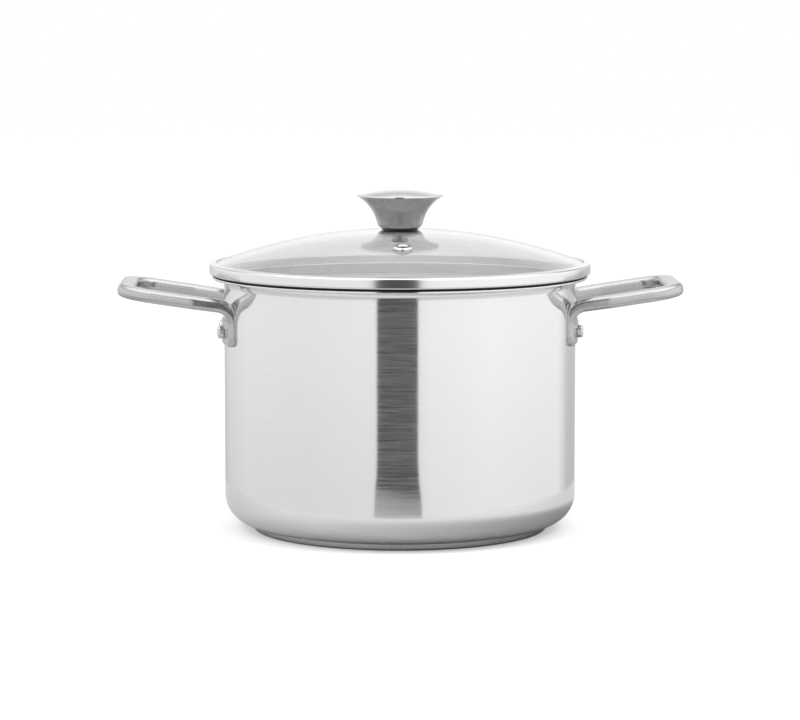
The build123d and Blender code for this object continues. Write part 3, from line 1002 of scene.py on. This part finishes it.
def make_floor():
    """Wide white floor at the pot's foot, which keeps the shadow. The camera and glass see it lifted to
    the white of the background. Reflections see its mirrored tone, a painted shade, times a smooth step of
    the distance from the axis, which paints a contact shadow under the pot, and nothing of it beyond the
    table's reach."""
    material, tree, output = new_material("studio_paper_white")
    path = add_node(tree, "ShaderNodeLightPath")
    place = add_node(tree, "ShaderNodeTexCoord").outputs["Object"]
    axes = add_node(tree, "ShaderNodeSeparateXYZ", {"Vector": place})
    distance = add_node(tree, "ShaderNodeVectorMath", {0: place}, operation="LENGTH")
    # Painted contact shadow: the floor's tone in reflections darkens towards the pot, more on one side of X.
    darkest_shadow = add_node(
        tree,
        "ShaderNodeMapRange",
        {
            "Value": axes.outputs["X"],
            "From Min": contact_span[0] * MM,
            "From Max": contact_span[1] * MM,
            "To Min": contact_shadow_levels[0],
            "To Max": contact_shadow_levels[1],
        },
    )
    contact = add_node(
        tree,
        "ShaderNodeMapRange",
        {
            "Value": distance.outputs["Value"],
            "From Min": contact_reach[0] * MM,
            "From Max": contact_reach[1] * MM,
            "To Min": darkest_shadow.outputs["Result"],
            "To Max": 1.0,
        },
        interpolation_type="SMOOTHSTEP",
    )
    near = add_node(
        tree, "ShaderNodeMath", {0: contact.outputs["Result"], 1: floor_mirrored_shade}, operation="MULTIPLY"
    )
    tone = add_node(
        tree,
        "ShaderNodeMix",
        {"Factor": path.outputs["Is Glossy Ray"], 6: (*[floor_white] * 3, 1.0), 7: near.outputs["Value"]},
        data_type="RGBA",
    )
    plain = add_node(tree, "ShaderNodeBsdfDiffuse", {"Color": tone.outputs[2]})
    seen = add_node(
        tree,
        "ShaderNodeMath",
        {0: path.outputs["Is Camera Ray"], 1: path.outputs["Is Transmission Ray"]},
        operation="MAXIMUM",
    )
    strength = add_node(
        tree, "ShaderNodeMath", {0: seen.outputs["Value"], 1: floor_lift}, operation="MULTIPLY"
    )
    lift = add_node(
        tree, "ShaderNodeEmission", {"Color": (1, 1, 1, 1), "Strength": strength.outputs["Value"]}
    )
    both = add_node(tree, "ShaderNodeAddShader", {0: plain.outputs["BSDF"], 1: lift.outputs["Emission"]})
    beyond = add_node(
        tree,
        "ShaderNodeMapRange",
        {
            "Value": distance.outputs["Value"],
            "From Min": table_reach * MM,
            "From Max": (table_reach + table_fade) * MM,
        },
        interpolation_type="SMOOTHSTEP",
    )
    hide = add_node(
        tree,
        "ShaderNodeMath",
        {0: beyond.outputs["Result"], 1: path.outputs["Is Glossy Ray"]},
        operation="MULTIPLY",
    )
    clear = add_node(tree, "ShaderNodeBsdfTransparent")
    mix = add_node(
        tree,
        "ShaderNodeMixShader",
        {"Fac": hide.outputs["Value"], 1: both.outputs["Shader"], 2: clear.outputs["BSDF"]},
    )
    tree.links.new(mix.outputs["Shader"], output.inputs["Surface"])
    half = floor_half
    stage_piece("floor", [(-half, -half, 0), (half, -half, 0), (half, half, 0), (-half, half, 0)], material)


def make_card():
    """Grey card that stands before the pot, seen only by reflections: the dark stripe down the wall. It
    is dark above a slanting edge, Z + slant x X, and its foot below is paler towards the floor: a painted
    shadow of the card on the floor."""
    material, tree, output = new_material("card_matt_grey")
    place = add_node(tree, "ShaderNodeTexCoord")
    axes = add_node(tree, "ShaderNodeSeparateXYZ", {"Vector": place.outputs["Object"]})
    edge = add_node(
        tree,
        "ShaderNodeMath",
        {0: axes.outputs["X"], 1: card_slant, 2: axes.outputs["Z"]},
        operation="MULTIPLY_ADD",
    )
    foot = add_node(
        tree,
        "ShaderNodeMapRange",
        {
            "Value": edge.outputs["Value"],
            "From Min": (card_edge - card_foot) * MM,
            "From Max": card_edge * MM,
            "To Min": foot_shadow_levels[0],
            "To Max": foot_shadow_levels[1],
        },
    )
    above = add_node(
        tree, "ShaderNodeMath", {0: edge.outputs["Value"], 1: card_edge * MM}, operation="GREATER_THAN"
    )
    level = add_node(
        tree, "ShaderNodeMix", {"Factor": above.outputs["Value"], 2: foot.outputs["Result"], 3: card_level}
    )
    shade = add_node(tree, "ShaderNodeEmission", {"Strength": level.outputs["Result"]})
    tree.links.new(shade.outputs["Emission"], output.inputs["Surface"])
    corners = [(x * MM, -card_distance * MM, z * MM) for x, z in card_corners]
    card = stage_piece("reflection_card", corners, material)
    card.visible_camera = False
    card.visible_diffuse = False
    card.visible_transmission = False
    card.visible_volume_scatter = False
    card.visible_shadow = False


def ramp(tree, factor, stops):
    """Colour ramp of grey levels: stops are (place from 0 to 1, level) pairs."""
    node = add_node(tree, "ShaderNodeValToRGB", {"Fac": factor})
    points = node.color_ramp.elements
    while len(points) < len(stops):
        points.new(0.5)
    for point, (place, level) in zip(points, stops):
        point.position = place
        point.color = (level, level, level, 1)
    return node


def make_studio():
    """World: white to the camera and through glass, even light for dull surfaces, and for reflections a
    room of soft boxes with darker gaps, its level a function of the compass angle and of the height."""
    world = bpy.data.worlds.new("studio")
    world.use_nodes = True
    tree = world.node_tree
    tree.nodes.clear()
    output = add_node(tree, "ShaderNodeOutputWorld")
    path = add_node(tree, "ShaderNodeLightPath")
    place = add_node(tree, "ShaderNodeTexCoord")
    axes = add_node(tree, "ShaderNodeSeparateXYZ", {"Vector": place.outputs["Generated"]})
    ahead = add_node(tree, "ShaderNodeMath", {0: axes.outputs["Y"], 1: -1.0}, operation="MULTIPLY")
    compass = add_node(
        tree, "ShaderNodeMath", {0: axes.outputs["X"], 1: ahead.outputs["Value"]}, operation="ARCTAN2"
    )
    share = add_node(
        tree,
        "ShaderNodeMapRange",
        {"Value": compass.outputs["Value"], "From Min": -np.pi, "From Max": np.pi},
    )
    round_room = ramp(tree, share.outputs["Result"], [((a + 180) / 360, v) for a, v in room_round])
    lift = add_node(
        tree, "ShaderNodeMapRange", {"Value": axes.outputs["Z"], "From Min": -1.0, "From Max": 1.0}
    )
    up_room = ramp(tree, lift.outputs["Result"], [((np.sin(np.radians(e)) + 1) / 2, v) for e, v in room_up])
    mixed = add_node(
        tree,
        "ShaderNodeMix",
        {"Factor": 1.0, 6: round_room.outputs["Color"], 7: up_room.outputs["Color"]},
        data_type="RGBA",
        blend_type="MULTIPLY",
    )
    glossy = add_node(tree, "ShaderNodeBackground", {"Color": mixed.outputs[2], "Strength": room_strength})
    even = add_node(tree, "ShaderNodeBackground", {"Color": (1, 1, 1, 1), "Strength": even_strength})
    white = add_node(tree, "ShaderNodeBackground", {"Color": (1, 1, 1, 1), "Strength": 1.0})
    shine = add_node(
        tree,
        "ShaderNodeMixShader",
        {
            "Fac": path.outputs["Is Glossy Ray"],
            1: even.outputs["Background"],
            2: glossy.outputs["Background"],
        },
    )
    seen = add_node(
        tree,
        "ShaderNodeMath",
        {0: path.outputs["Is Camera Ray"], 1: path.outputs["Is Transmission Ray"]},
        operation="MAXIMUM",
    )
    final = add_node(
        tree,
        "ShaderNodeMixShader",
        {"Fac": seen.outputs["Value"], 1: shine.outputs["Shader"], 2: white.outputs["Background"]},
    )
    tree.links.new(final.outputs["Shader"], output.inputs["Surface"])
    bpy.context.scene.world = world


def make_lamp(name, place, size, power):
    """Soft square lamp that points at the pot: its place and size in metres, its power in watts."""
    lamp = bpy.data.lights.new(name, "AREA")
    lamp.size, lamp.energy = size, power
    lit = bpy.data.objects.new(name, lamp)
    lit.location = place
    aim = Vector((0, 0, lamp_aim_z)) - Vector(place)
    lit.rotation_euler = aim.to_track_quat("-Z", "Y").to_euler()
    lit.visible_glossy = False
    lit.visible_camera = False
    lit.visible_transmission = False
    bpy.context.scene.collection.objects.link(lit)


def make_camera():
    """Camera at the product's usual angle: in front, a little above, far off with a long lens."""
    camera = bpy.data.cameras.new("camera")
    camera.lens = camera_lens
    camera.sensor_width = camera_sensor
    eye = bpy.data.objects.new("camera", camera)
    eye.location = Vector(camera_place) * MM
    aim = (Vector(camera_aim) - Vector(camera_place)) * MM
    eye.rotation_euler = aim.to_track_quat("-Z", "Y").to_euler()
    bpy.context.scene.collection.objects.link(eye)
    bpy.context.scene.camera = eye


make_floor()
make_card()
make_studio()
make_lamp("soft_lamp_left", (-1.2, -1.0, 1.4), 1.2, 12)
make_lamp("soft_lamp_right", (1.3, -0.8, 1.6), 1.2, 14)
make_camera()
bpy.context.scene.view_settings.view_transform = "Standard"
